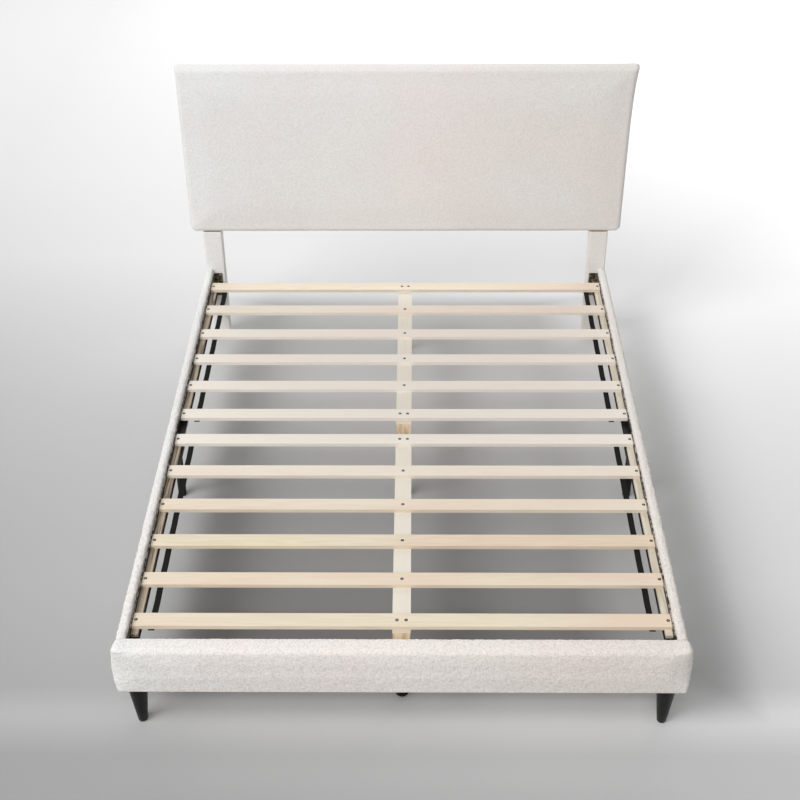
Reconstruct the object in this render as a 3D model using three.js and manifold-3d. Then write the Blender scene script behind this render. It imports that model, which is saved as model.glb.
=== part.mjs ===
// Upholstered platform bed for a 1524 x 2032 mm mattress: a padded headboard on two posts,
// padded side rails in two halves, a padded foot rail, and two slat sets on a centre beam.
// Millimetres. +X to the right seen from the foot, +Y to the head, +Z up.
// The origin is on the floor, in the middle of the whole bed's outline.
import * as THREE from "three";
import { RoundedBoxGeometry } from "three/addons/geometries/RoundedBoxGeometry.js";
import { mergeVertices } from "three/addons/utils/BufferGeometryUtils.js";
import Module from "manifold-3d";

const wasm = await Module();
wasm.setup();

// Driving dimensions.
const GAP = 0.3; // clearance left between touching pieces
const BED_LENGTH = 2150;
const FRAME_WIDTH = 1600;
const RAIL_BOTTOM = 165.3;
const RAIL_TOP = 325.3;
const HEADBOARD_WIDTH = 1688;
const HEADBOARD_BOTTOM = 489;
const HEADBOARD_TOP = 1171;
const HEADBOARD_DEPTH = 57;
const FOOT_RAIL_DEPTH = 57.5;
const SIDE_RAIL_DEPTH = 27.7;
const POST_WIDTH = 75;
const POST_DEPTH = 42.7;
const SLAT_TOP = 303;
const SLAT_THICKNESS = 12;
const SLAT_WIDTH = 53;
const SLAT_END_GAP = 4; // from a slat's end to the rail, where the ledge's steel stands
const SLATS_PER_SET = 6;
const SLAT_PITCH = 170.7;
const SLAT_SET_GAP = 144.6; // between the middles of the two slats nearest the bed's middle
const SHEET = 2.4; // steel sheet of the brackets

// Places that follow from them.
const FOOT_FACE = -BED_LENGTH / 2;
const FOOT_INNER = FOOT_FACE + FOOT_RAIL_DEPTH;
const LINING = 1.7; // cloth that closes the headboard's back
const POST_BACK = BED_LENGTH / 2 - LINING - GAP;
const POST_FRONT = POST_BACK - POST_DEPTH;
const RAIL_HEAD_END = POST_FRONT - GAP;
const RAIL_OUTER = FRAME_WIDTH / 2;
const RAIL_INNER = RAIL_OUTER - SIDE_RAIL_DEPTH;
const HEADBOARD_FRONT = BED_LENGTH / 2 - HEADBOARD_DEPTH;
const SLAT_BOTTOM = SLAT_TOP - SLAT_THICKNESS;
const SLAT_LENGTH = 2 * (RAIL_INNER - SLAT_END_GAP);
const STEEL_OUTER = RAIL_INNER - GAP;
const LEG_TOP = RAIL_BOTTOM - SHEET - 2 * GAP;
const HALVES = [
  ["foot", -1],
  ["head", 1],
];
const SIDES = [
  ["left", -1],
  ["right", 1],
];

const MATERIALS = {
  boucle: { color: 0xe6e2dc, roughness: 0.95, metalness: 0 },
  lining: { color: 0xd9d6d0, roughness: 0.9, metalness: 0 },
  slat_wood: { color: 0xe3d2ba, roughness: 0.6, metalness: 0 },
  beam_wood: { color: 0xcbb08c, roughness: 0.65, metalness: 0 },
  ledge_wood: { color: 0xb9a184, roughness: 0.7, metalness: 0 },
  frame_wood: { color: 0xc2a87f, roughness: 0.75, metalness: 0 },
  black_steel: { color: 0x1b1b1b, roughness: 0.45, metalness: 0.6 },
  leg_black: { color: 0x161616, roughness: 0.5, metalness: 0 },
  webbing: { color: 0x17170f, roughness: 0.9, metalness: 0 },
};

const bed = new THREE.Group();

function addPiece(name, slot, geometry) {
  const mesh = new THREE.Mesh(geometry, new THREE.MeshStandardMaterial(MATERIALS[slot]));
  mesh.name = name;
  bed.add(mesh);
  return mesh;
}

// A block that fills the given spans, each [low, high].
function block(x, y, z) {
  const geometry = new THREE.BoxGeometry(x[1] - x[0], y[1] - y[0], z[1] - z[0]);
  return geometry.translate((x[0] + x[1]) / 2, (y[0] + y[1]) / 2, (z[0] + z[1]) / 2);
}

function roundedBlock(x, y, z, radius, segments) {
  const geometry = new RoundedBoxGeometry(
    x[1] - x[0], y[1] - y[0], z[1] - z[0], segments, radius,
  );
  return geometry.translate((x[0] + x[1]) / 2, (y[0] + y[1]) / 2, (z[0] + z[1]) / 2);
}

// A span measured outwards from the bed's middle line, on one side or end of it.
function outward(sign, near, far) {
  return sign > 0 ? [near, far] : [-far, -near];
}

function toSolid(geometry) {
  const bare = geometry.clone();
  bare.deleteAttribute("normal");
  bare.deleteAttribute("uv");
  const merged = mergeVertices(bare, 1e-3);
  return new wasm.Manifold(
    new wasm.Mesh({
      numProp: 3,
      vertProperties: merged.attributes.position.array,
      triVerts: new Uint32Array(merged.index.array),
    }),
  );
}

function toGeometry(solid) {
  const mesh = solid.getMesh();
  const geometry = new THREE.BufferGeometry();
  geometry.setAttribute("position", new THREE.BufferAttribute(mesh.vertProperties, 3));
  geometry.setIndex(new THREE.BufferAttribute(mesh.triVerts, 1));
  geometry.computeVertexNormals();
  return geometry;
}

function joined(geometries) {
  return toGeometry(geometries.map(toSolid).reduce((sum, solid) => sum.add(solid)));
}

function cut(body, holes) {
  const rest = holes.map(toSolid).reduce((left, hole) => left.subtract(hole), toSolid(body));
  return toGeometry(rest);
}

function closedShape(points) {
  const shape = new THREE.Shape();
  points.forEach(([a, b], i) => (i ? shape.lineTo(a, b) : shape.moveTo(a, b)));
  shape.closePath();
  return shape;
}

// Extrudes an outline drawn in X and Z along Y, between two places.
function extrudeAlongY(shape, y) {
  const geometry = new THREE.ExtrudeGeometry(shape, {
    depth: y[1] - y[0],
    bevelEnabled: false,
    curveSegments: 6,
  });
  return geometry.rotateX(Math.PI / 2).translate(0, y[1], 0);
}

// A turned piece standing on z: profile points are [radius, height], from the bottom up.
function turned(x, y, z, profile) {
  const points = profile.map(([radius, height]) => new THREE.Vector2(radius, height));
  return new THREE.LatheGeometry(points, 24).rotateX(Math.PI / 2).translate(x, y, z);
}

// Headboard: a wooden frame behind a board, foam and cloth wrapped over its front and edges,
// and a cloth lining on its back. The posts stand inside it and carry it.
const WRAP = 10; // cloth and foam over the headboard's edges
const HEADBOARD_ROUNDING = 20;
const HEADBOARD_FOAM = 22;
const HEADBOARD_PLY = 10;
const LINING_INSET = 6;
const CROSS_RAIL = 60; // height of the headboard frame's top and middle rails
const POST_CLEARANCE = 2;
const BOARD_FRONT = HEADBOARD_FRONT + HEADBOARD_FOAM;
const BOARD_BACK = BOARD_FRONT + HEADBOARD_PLY;
const HEADBOARD_FRAME_FRONT = BOARD_BACK + GAP;
const STILE_WIDTH = 33;
const POST_TOP = 900;
const POST_SHOULDER = HEADBOARD_BOTTOM - 0.5;
const POST_SLEEVE = 2.2; // padded cloth round a post
const SLEEVE_BOTTOM = 2;
const POST_OUTER = RAIL_OUTER;
const POST_INNER = POST_OUTER - POST_WIDTH;

function makeHeadboard() {
  const half = HEADBOARD_WIDTH / 2;
  const inner = half - WRAP;
  const low = HEADBOARD_BOTTOM + WRAP;
  const high = HEADBOARD_TOP - WRAP;
  const shell = roundedBlock(
    [-half, half],
    [HEADBOARD_FRONT, POST_BACK],
    [HEADBOARD_BOTTOM, HEADBOARD_TOP],
    HEADBOARD_ROUNDING,
    3,
  );
  const hollow = block(
    [-inner, inner], [BOARD_FRONT - GAP, BED_LENGTH], [low, high],
  );
  const postSlots = SIDES.map(([, sign]) =>
    block(
      outward(sign, POST_INNER - POST_CLEARANCE, POST_OUTER + POST_CLEARANCE),
      [BOARD_BACK, BED_LENGTH],
      [HEADBOARD_BOTTOM - WRAP, low + WRAP],
    ),
  );
  addPiece("headboard_pad", "boucle", cut(shell, [hollow, ...postSlots]));

  const edge = inner - GAP;
  addPiece(
    "headboard_board", "frame_wood",
    block([-edge, edge], [BOARD_FRONT, BOARD_BACK], [low + GAP, high - GAP]),
  );

  const stile = edge - STILE_WIDTH;
  const outline = closedShape([
    [-edge, low + GAP],
    [-stile, low + GAP],
    [-stile, POST_TOP + GAP],
    [stile, POST_TOP + GAP],
    [stile, low + GAP],
    [edge, low + GAP],
    [edge, high - GAP],
    [-edge, high - GAP],
  ]);
  outline.holes.push(
    closedShape([
      [-stile, POST_TOP + CROSS_RAIL],
      [-stile, high - CROSS_RAIL],
      [stile, high - CROSS_RAIL],
      [stile, POST_TOP + CROSS_RAIL],
    ]),
  );
  addPiece(
    "headboard_frame", "frame_wood",
    extrudeAlongY(outline, [HEADBOARD_FRAME_FRONT, POST_BACK]),
  );

  const inset = HEADBOARD_ROUNDING + LINING_INSET;
  addPiece(
    "headboard_lining", "lining",
    block(
      [-half + inset, half - inset],
      [POST_BACK + GAP, BED_LENGTH / 2],
      [HEADBOARD_BOTTOM + inset, HEADBOARD_TOP - inset],
    ),
  );
}

// Posts: a wooden core that thins where it passes behind the board, in a cloth sleeve.
function makePosts() {
  const sleeve = POST_SLEEVE;
  for (const [side, sign] of SIDES) {
    const core = outward(sign, POST_INNER + sleeve + GAP, POST_OUTER - sleeve - GAP);
    const back = POST_BACK - sleeve - GAP;
    addPiece(
      `headboard_post_${side}`, "frame_wood",
      joined([
        block(core, [POST_FRONT + sleeve + GAP, back], [0, POST_SHOULDER]),
        block(core, [HEADBOARD_FRAME_FRONT, back], [POST_SHOULDER - 1, POST_TOP]),
      ]),
    );
    const outer = outward(sign, POST_INNER, POST_OUTER);
    const hollow = outward(sign, POST_INNER + sleeve, POST_OUTER - sleeve);
    const span = [SLEEVE_BOTTOM, POST_SHOULDER];
    addPiece(
      `post_cover_${side}`, "boucle",
      cut(block(outer, [POST_FRONT, POST_BACK], span), [
        block(hollow, [POST_FRONT + sleeve, POST_BACK - sleeve], [0, HEADBOARD_TOP]),
      ]),
    );
  }
}

// Side rails: a board wrapped in foam and cloth, in two halves that meet in the middle.
const BOARD_INSET = 5;
const RAIL_BOARD_INNER = RAIL_INNER + 4;
const RAIL_BOARD_OUTER = RAIL_OUTER - 8;
const FLAP_BOTTOM = RAIL_BOTTOM + 50; // lower edge of the cloth turned over the rail's inner face

function railCoverShape(sign) {
  const radius = 8;
  const top = RAIL_TOP;
  const bottom = RAIL_BOTTOM;
  const lip = RAIL_BOARD_INNER - GAP;
  const shape = new THREE.Shape();
  shape.moveTo(RAIL_INNER, FLAP_BOTTOM);
  shape.lineTo(RAIL_INNER, top - radius);
  shape.absarc(RAIL_INNER + radius, top - radius, radius, Math.PI, Math.PI / 2, true);
  shape.lineTo(RAIL_OUTER - radius, top);
  shape.absarc(RAIL_OUTER - radius, top - radius, radius, Math.PI / 2, 0, true);
  shape.lineTo(RAIL_OUTER, bottom + radius);
  shape.absarc(RAIL_OUTER - radius, bottom + radius, radius, 0, -Math.PI / 2, true);
  shape.lineTo(RAIL_BOARD_INNER, bottom);
  shape.lineTo(RAIL_BOARD_INNER, bottom + BOARD_INSET - GAP);
  shape.lineTo(RAIL_BOARD_OUTER + GAP, bottom + BOARD_INSET - GAP);
  shape.lineTo(RAIL_BOARD_OUTER + GAP, top - BOARD_INSET + GAP);
  shape.lineTo(lip, top - BOARD_INSET + GAP);
  shape.lineTo(lip, FLAP_BOTTOM);
  shape.closePath();
  if (sign > 0) return shape;
  return closedShape(shape.getPoints(6).slice(0, -1).map((p) => [-p.x, p.y]).reverse());
}

// The part of one side that a rail half takes up.
function railSpan(end) {
  return end > 0 ? [GAP / 2, RAIL_HEAD_END] : [FOOT_INNER + GAP, -GAP / 2];
}

function makeSideRails() {
  for (const [side, sign] of SIDES) {
    for (const [half, end] of HALVES) {
      const y = railSpan(end);
      addPiece(
        `side_rail_cover_${half}_${side}`, "boucle",
        extrudeAlongY(railCoverShape(sign), y),
      );
      addPiece(
        `side_rail_board_${half}_${side}`, "frame_wood",
        block(
          outward(sign, RAIL_BOARD_INNER, RAIL_BOARD_OUTER),
          y,
          [RAIL_BOTTOM + BOARD_INSET, RAIL_TOP - BOARD_INSET],
        ),
      );
    }
  }
}

// Ledges: a steel angle screwed to each rail half, with a wooden strip lying in it.
const LEDGE_STEEL = 3;
const LEDGE_WIDTH = 29;
const LEDGE_HEIGHT = 14;
const LEDGE_STEEL_TOP = SLAT_TOP + 6;
const LEDGE_LIP = 5; // flange left bare beside the strip
const STRIP_END_GAP = 2;
const LEDGE_BOTTOM = SLAT_BOTTOM - GAP - LEDGE_HEIGHT;
const LEDGE_ENDS = { foot: [-975, -66], head: [66, 958] };

function makeLedges() {
  const level = LEDGE_BOTTOM + LEDGE_STEEL;
  for (const [side, sign] of SIDES) {
    for (const [half, y] of Object.entries(LEDGE_ENDS)) {
      const flange = outward(sign, STEEL_OUTER - LEDGE_WIDTH, STEEL_OUTER);
      const web = outward(sign, STEEL_OUTER - LEDGE_STEEL, STEEL_OUTER);
      addPiece(
        `ledge_angle_${half}_${side}`, "black_steel",
        joined([
          block(flange, y, [LEDGE_BOTTOM, level]),
          block(web, y, [LEDGE_BOTTOM, LEDGE_STEEL_TOP]),
        ]),
      );
      addPiece(
        `ledge_strip_${half}_${side}`, "ledge_wood",
        block(
          outward(sign, STEEL_OUTER - LEDGE_WIDTH + LEDGE_LIP, STEEL_OUTER - LEDGE_STEEL - GAP),
          [y[0] + STRIP_END_GAP, y[1] - STRIP_END_GAP],
          [level + GAP, SLAT_BOTTOM - GAP],
        ),
      );
    }
  }
}

// Foot rail: a board in a padded cover whose cloth edges meet under the rail.
const FOOT_PAD = { front: 22, back: 8, ends: 10, bottom: 6, top: 10 };
const FOOT_ROUNDING = 14;
const SEAM_LIP = 6; // cloth turned in under the foot rail's board

function makeFootRail() {
  const half = RAIL_OUTER;
  const front = FOOT_FACE + FOOT_PAD.front;
  const back = FOOT_INNER - FOOT_PAD.back;
  const ends = half - FOOT_PAD.ends;
  const low = RAIL_BOTTOM + FOOT_PAD.bottom;
  const high = RAIL_TOP - FOOT_PAD.top;
  const shell = roundedBlock(
    [-half, half], [FOOT_FACE, FOOT_INNER], [RAIL_BOTTOM, RAIL_TOP], FOOT_ROUNDING, 3,
  );
  const hollow = block([-ends, ends], [front, back], [low, high]);
  const seam = block([-ends, ends], [front + SEAM_LIP, back - SEAM_LIP], [0, low + 1]);
  addPiece("foot_rail_cover", "boucle", cut(shell, [hollow, seam]));
  addPiece(
    "foot_rail_board", "frame_wood",
    block([-ends + GAP, ends - GAP], [front + GAP, back - GAP], [low + GAP, high - GAP]),
  );
}

// Steel parts that join the rails: each stands against a rail's inner face.
const PLATE_BOTTOM = RAIL_BOTTOM - SHEET - GAP;
const BRACKET_TOP = SLAT_BOTTOM - GAP;
const BRACKET_REACH = 34;
const SHELF_REACH = 24; // width of the brackets' level leaf
const POST_BRACKET = [200, BRACKET_TOP + 12]; // its lower and upper edges
const JOINT_PLATE_HALF = 62;
const JOINT_FOOT_HALF = 30; // half the length of the plate's leaf under the rails
const PLATE_INSET = { side: 8, front: 12 };
const BRACKET_END_GAP = 2;
const FRONT_LEG = { x: 757, y: FOOT_FACE + 47 };
const MIDDLE_LEG = { x: 784, y: 0 };
const FRONT_LEG_RADIUS = { top: 30, foot: 14 };
const MIDDLE_LEG_RADIUS = { top: 15, foot: 14 };

function wall(sign, y, z) {
  return block(outward(sign, STEEL_OUTER - SHEET, STEEL_OUTER), y, z);
}

function makeBrackets() {
  const shelf = [LEDGE_BOTTOM, LEDGE_BOTTOM + SHEET];
  const plate = [PLATE_BOTTOM, PLATE_BOTTOM + SHEET];
  const jointRun = [-JOINT_PLATE_HALF, JOINT_PLATE_HALF];
  for (const [side, sign] of SIDES) {
    const reach = outward(sign, STEEL_OUTER - BRACKET_REACH, STEEL_OUTER);
    const footFace = [FOOT_INNER + GAP, FOOT_INNER + GAP + SHEET];
    const leaf = outward(sign, STEEL_OUTER - SHELF_REACH, STEEL_OUTER);
    const footRun = [FOOT_INNER + GAP, LEDGE_ENDS.foot[0] - BRACKET_END_GAP];
    const footPlate = outward(
      sign, FRONT_LEG.x - FRONT_LEG_RADIUS.top, RAIL_OUTER - PLATE_INSET.side,
    );
    addPiece(
      `corner_bracket_${side}`, "black_steel",
      joined([
        wall(sign, footRun, [PLATE_BOTTOM, LEDGE_STEEL_TOP]),
        block(reach, footFace, [PLATE_BOTTOM, BRACKET_TOP]),
        block(leaf, footRun, shelf),
        block(footPlate, [FOOT_FACE + PLATE_INSET.front, footRun[1]], plate),
      ]),
    );
    const postFace = [POST_FRONT - GAP - SHEET, POST_FRONT - GAP];
    const headRun = [LEDGE_ENDS.head[1] + BRACKET_END_GAP, POST_FRONT - GAP];
    addPiece(
      `post_bracket_${side}`, "black_steel",
      joined([
        wall(sign, headRun, POST_BRACKET),
        block(reach, postFace, POST_BRACKET),
        block(leaf, headRun, shelf),
      ]),
    );
    addPiece(
      `rail_joint_plate_${side}`, "black_steel",
      joined([
        wall(sign, jointRun, [PLATE_BOTTOM, LEDGE_STEEL_TOP]),
        block(leaf, jointRun, shelf),
        block(
          outward(sign, STEEL_OUTER - SHEET, RAIL_OUTER),
          [-JOINT_FOOT_HALF, JOINT_FOOT_HALF],
          plate,
        ),
      ]),
    );
  }
}

// Legs: tapered round legs under the foot corners, slim round ones under the rail joints.
function legProfile({ top, foot }) {
  return [
    [0, 0],
    [foot - 1.5, 0],
    [foot, 1.5],
    [top, LEG_TOP - 4],
    [top, LEG_TOP],
    [0, LEG_TOP],
  ];
}

function makeLegs() {
  const front = legProfile(FRONT_LEG_RADIUS);
  const middle = legProfile(MIDDLE_LEG_RADIUS);
  for (const [side, sign] of SIDES) {
    addPiece(`front_leg_${side}`, "leg_black", turned(sign * FRONT_LEG.x, FRONT_LEG.y, 0, front));
    addPiece(`middle_leg_${side}`, "leg_black", turned(sign * MIDDLE_LEG.x, MIDDLE_LEG.y, 0, middle));
  }
}

// Centre support: a beam in two halves, hung on the foot rail and standing on three legs.
const STRIP_THICKNESS = 14.7;
const BEAM_TOP = SLAT_BOTTOM - GAP - STRIP_THICKNESS - GAP;
const BEAM_HEIGHT = 55;
const BEAM_BOTTOM = BEAM_TOP - BEAM_HEIGHT;
const BEAM_HALF_WIDTH = 25;
const BEAM_HEAD_END = 945;
const CENTRE_LEG_REACH = 925;
const HANGER_STEEL = 3;
const HANGER_DEPTH = 42;
const HANGER_DROP = 12; // from the beam's top to the hanger's
const STRIP_HALF_WIDTH = 26.5;

function makeCentreBeam() {
  const x = [-BEAM_HALF_WIDTH, BEAM_HALF_WIDTH];
  const z = [BEAM_BOTTOM, BEAM_TOP];
  const hanger = HANGER_STEEL;
  const footEnd = FOOT_INNER + hanger + 2 * GAP;
  addPiece("centre_beam_foot", "beam_wood", block(x, [footEnd, -GAP / 2], z));
  addPiece("centre_beam_head", "beam_wood", block(x, [GAP / 2, BEAM_HEAD_END], z));

  const cheek = BEAM_HALF_WIDTH + GAP;
  const hangerX = [-cheek - hanger, cheek + hanger];
  const seat = [BEAM_BOTTOM - GAP - hanger, BEAM_BOTTOM - GAP];
  const depth = [FOOT_INNER + GAP, FOOT_INNER + HANGER_DEPTH];
  const cheekHeight = [seat[0], BEAM_TOP - HANGER_DROP];
  addPiece(
    "beam_hanger", "black_steel",
    joined([
      block(hangerX, [depth[0], depth[0] + hanger], cheekHeight),
      block(hangerX, depth, seat),
      block([-cheek - hanger, -cheek], depth, cheekHeight),
      block([cheek, cheek + hanger], depth, cheekHeight),
    ]),
  );

  const legTop = BEAM_BOTTOM - GAP;
  const profile = [
    [0, 0],
    [20, 0],
    [20, 8],
    [18, 10],
    [18, legTop - 4],
    [22, legTop - 4],
    [22, legTop],
    [0, legTop],
  ];
  const places = { foot: -CENTRE_LEG_REACH, middle: 0, head: CENTRE_LEG_REACH };
  for (const [place, y] of Object.entries(places)) {
    addPiece(`centre_leg_${place}`, "leg_black", turned(0, y, 0, profile));
  }
}

// Slat sets: slats screwed to a centre strip, with a webbing strap along each end.
const STRAP_SPAN = [704, 722];
const STRAP_THICKNESS = 1.6;
const STRAP_TAIL = 4; // the strap's end past the last slat's edge

function slatCentre(end, index) {
  return end * (SLAT_SET_GAP / 2 + index * SLAT_PITCH);
}

function makeSlatSets() {
  for (const [half, end] of HALVES) {
    for (let i = 0; i < SLATS_PER_SET; i += 1) {
      const y = slatCentre(end, i);
      const number = end > 0 ? SLATS_PER_SET - i : SLATS_PER_SET + 1 + i;
      addPiece(
        `slat_${String(number).padStart(2, "0")}`, "slat_wood",
        block(
          [-SLAT_LENGTH / 2, SLAT_LENGTH / 2],
          [y - SLAT_WIDTH / 2, y + SLAT_WIDTH / 2],
          [SLAT_BOTTOM, SLAT_TOP],
        ),
      );
    }
    const near = slatCentre(1, 0) - SLAT_WIDTH / 2;
    const far = slatCentre(1, SLATS_PER_SET - 1) + SLAT_WIDTH / 2;
    const y = outward(end, near, far);
    const strapRun = outward(end, near - STRAP_TAIL, far + STRAP_TAIL);
    const under = SLAT_BOTTOM - GAP;
    addPiece(
      `centre_strip_${half}`, "slat_wood",
      block([-STRIP_HALF_WIDTH, STRIP_HALF_WIDTH], y, [under - STRIP_THICKNESS, under]),
    );
    for (const [side, sign] of SIDES) {
      addPiece(
        `slat_strap_${half}_${side}`, "webbing",
        block(outward(sign, ...STRAP_SPAN), strapRun, [under - STRAP_THICKNESS, under]),
      );
    }
  }
}

makeHeadboard();
makePosts();
makeSideRails();
makeLedges();
makeFootRail();
makeBrackets();
makeLegs();
makeCentreBeam();
makeSlatSets();

export default bed;
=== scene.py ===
"""Looks for an upholstered bed: boucle padding, wooden slats, black steel and painted legs.

Metres, in the frame of the CAD model: the origin is on the floor in the middle of the bed,
+Y points to the headboard and +Z up.
"""

import math
import random
from itertools import product

import bmesh
import bpy
import numpy as np
from mathutils import Matrix, Vector


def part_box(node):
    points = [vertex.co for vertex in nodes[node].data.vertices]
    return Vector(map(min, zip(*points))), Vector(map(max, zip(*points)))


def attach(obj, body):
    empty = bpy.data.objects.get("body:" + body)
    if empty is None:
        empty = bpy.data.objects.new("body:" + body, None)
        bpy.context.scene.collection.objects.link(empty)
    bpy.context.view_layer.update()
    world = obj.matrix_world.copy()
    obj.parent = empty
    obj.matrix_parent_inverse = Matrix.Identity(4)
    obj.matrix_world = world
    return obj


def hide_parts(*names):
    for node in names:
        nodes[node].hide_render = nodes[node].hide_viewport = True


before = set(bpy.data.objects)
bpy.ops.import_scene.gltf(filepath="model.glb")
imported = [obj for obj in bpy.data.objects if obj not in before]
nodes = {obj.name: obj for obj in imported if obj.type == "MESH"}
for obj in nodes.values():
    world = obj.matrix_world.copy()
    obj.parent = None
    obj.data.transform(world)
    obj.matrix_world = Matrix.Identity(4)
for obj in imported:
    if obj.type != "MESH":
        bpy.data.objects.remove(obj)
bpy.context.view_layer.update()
random.seed(7)
SIDES = (("left", -1), ("right", 1))
HALVES = ("foot", "head")
GAP = 0.0003  # between a cloth and the board in it, and between a rail and its angle
ANGLE_PLATE = 0.0024  # the steel's thickness


# ------------ materials
class Shader:
    """A material with one Principled shader, and short calls for adding nodes to it."""

    def __init__(self, name, roughness, **settings):
        self.material = bpy.data.materials.new(name)
        self.material.use_nodes = True
        self.tree = self.material.node_tree
        self.tree.nodes.clear()
        output = self.tree.nodes.new("ShaderNodeOutputMaterial")
        self.surface = self.tree.nodes.new("ShaderNodeBsdfPrincipled")
        self.link(self.surface.outputs[0], output.inputs["Surface"])
        self.surface.inputs["Roughness"].default_value = roughness
        for key, value in settings.items():
            self.surface.inputs[key.replace("_", " ")].default_value = value
        self.place = self.add("TexCoord").outputs["Object"]

    def add(self, kind, settings=None, **inputs):
        node = self.tree.nodes.new("ShaderNode" + kind)
        for key, value in (settings or {}).items():
            setattr(node, key, value)
        for key, value in inputs.items():
            self.put(node.inputs[key.replace("_", " ")], value)
        return node

    def put(self, socket, value):
        if isinstance(value, bpy.types.NodeSocket):
            self.link(value, socket)
        else:
            socket.default_value = value

    def link(self, a, b):
        self.tree.links.new(a, b)

    def scaled(self, factors, offset=(0, 0, 0)):
        """The object's coordinates times three factors."""
        node = self.add("Mapping")
        self.link(self.place, node.inputs["Vector"])
        node.inputs["Scale"].default_value = factors
        node.inputs["Location"].default_value = offset
        return node.outputs[0]

    def noise(self, vector, scale, detail=2.0, roughness=0.5, distortion=0.0):
        return self.add(
            "TexNoise", Vector=vector, Scale=scale, Detail=detail,
            Roughness=roughness, Distortion=distortion,
        ).outputs["Fac"]

    def cells(self, vector, scale):
        return self.add("TexVoronoi", Vector=vector, Scale=scale).outputs["Distance"]

    def math(self, operation, a, b=0.0):
        node = self.add("Math", {"operation": operation})
        self.put(node.inputs[0], a)
        self.put(node.inputs[1], b)
        return node.outputs[0]

    def times(self, a, b):
        return self.math("MULTIPLY", a, b)

    def total(self, a, share_a, b, share_b):
        """The sum of two values, each times its share."""
        return self.math("ADD", self.times(a, share_a), self.times(b, share_b))

    def axis(self, letter):
        return self.add("SeparateXYZ", Vector=self.place).outputs[letter]

    def spread(self, value, low, high, to_low=0.0, to_high=1.0):
        """value, taken from low..high to to_low..to_high and held there."""
        return self.add(
            "MapRange", Value=value, From_Min=low, From_Max=high,
            To_Min=to_low, To_Max=to_high,
        ).outputs[0]

    def ramp(self, value, *stops):
        node = self.add("ValToRGB", Fac=value)
        elements = node.color_ramp.elements
        while len(elements) < len(stops):
            elements.new(0.5)
        for element, (position, colour) in zip(elements, stops):
            element.position = position
            element.color = (*colour, 1)
        return node.outputs[0]

    def mix(self, factor, a, b, blend="MIX"):
        node = self.add("Mix", {"data_type": "RGBA", "blend_type": blend})
        self.put(node.inputs[0], factor)
        for socket, value in ((node.inputs[6], a), (node.inputs[7], b)):
            self.put(socket, value if isinstance(value, bpy.types.NodeSocket) else (*value, 1))
        return node.outputs[2]

    def grey(self, value):
        node = self.add("CombineColor")
        for socket in node.inputs[:3]:
            self.link(value, socket)
        return node.outputs[0]

    def colour(self, value):
        self.link(value, self.surface.inputs["Base Color"])

    def rough(self, value):
        self.link(value, self.surface.inputs["Roughness"])

    def bump(self, *layers):
        """Bumps from (height, distance in metres, strength), the coarsest first."""
        normal = None
        for height, distance, strength in layers:
            node = self.add("Bump", Height=height, Distance=distance, Strength=strength)
            if normal:
                self.link(normal, node.inputs["Normal"])
            normal = node.outputs[0]
        self.link(normal, self.surface.inputs["Normal"])


def boucle_material():
    s = Shader("boucle_cloth", 0.95, Sheen_Weight=0.25, Sheen_Roughness=0.45,
               Specular_IOR_Level=0.2)
    wander = s.add("TexNoise", Vector=s.place, Scale=140.0, Detail=1.0).outputs["Color"]
    shift = s.add("VectorMath", {"operation": "SCALE"})
    s.link(wander, shift.inputs[0])
    shift.inputs["Scale"].default_value = 0.006
    moved = s.add("VectorMath", {"operation": "ADD"})
    s.link(s.place, moved.inputs[0])
    s.link(shift.outputs[0], moved.inputs[1])
    loops = s.spread(s.cells(moved.outputs[0], 190.0), 0.05, 0.75, 1.0, 0.0)
    curls = s.spread(s.cells(moved.outputs[0], 420.0), 0.05, 0.8, 1.0, 0.0)
    fibre = s.noise(s.place, 1500.0, 2.0)
    height = s.total(loops, 0.65, curls, 0.35)
    # Painted shade: the ramps below paint the hollows between the loops darker than their tops.
    tone = s.total(height, 0.8, fibre, 0.3)
    # Painted light: the cloth is painted paler and flatter towards the headboard and with more
    # contrast towards the foot, standing in for the brighter light at the head end and the grazing
    # light on the foot rail.
    base = s.mix(
        s.spread(s.axis("Y"), -0.9, 0.9),
        s.ramp(tone, (0.12, (0.66, 0.635, 0.605)), (0.42, (0.815, 0.79, 0.76)),
               (0.75, (0.88, 0.86, 0.83))),
        s.ramp(tone, (0.12, (0.79, 0.775, 0.755)), (0.45, (0.865, 0.855, 0.835)),
               (0.80, (0.90, 0.895, 0.88))),
    )
    patches = s.spread(s.noise(s.place, 3.0, 2.0), 0.35, 0.65, 0.0, 1.0)
    cast = s.ramp(patches, (0.0, (1.0, 0.965, 0.955)), (1.0, (1.0, 1.0, 0.99)))
    base = s.mix(1.0, base, cast, "MULTIPLY")
    # Painted light: the cloth is painted lighter and cooler at the left and a darker, warmer grey
    # at the right, as the key light falls from the left.
    painted_side_light = s.ramp(
        s.spread(s.axis("X"), -0.85, 0.85), (0.05, (1.0, 1.02, 1.035)),
        (0.5, (1.03, 1.0, 1.005)), (0.95, (0.955, 0.935, 0.925)),
    )
    s.colour(s.mix(1.0, base, painted_side_light, "MULTIPLY"))
    s.bump((height, 0.0013, 0.55), (fibre, 0.0003, 0.35))
    return s.material


def lining_material():
    s = Shader("lining_cloth", 0.9, Specular_IOR_Level=0.2)
    fleck = s.noise(s.place, 900.0, 3.0)
    soft = s.noise(s.place, 30.0, 2.0)
    tone = s.total(fleck, 0.7, soft, 0.3)
    s.colour(s.ramp(tone, (0.3, (0.55, 0.54, 0.52)), (0.7, (0.70, 0.69, 0.67))))
    s.bump((soft, 0.004, 0.2), (fleck, 0.0005, 0.5))
    return s.material


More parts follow.
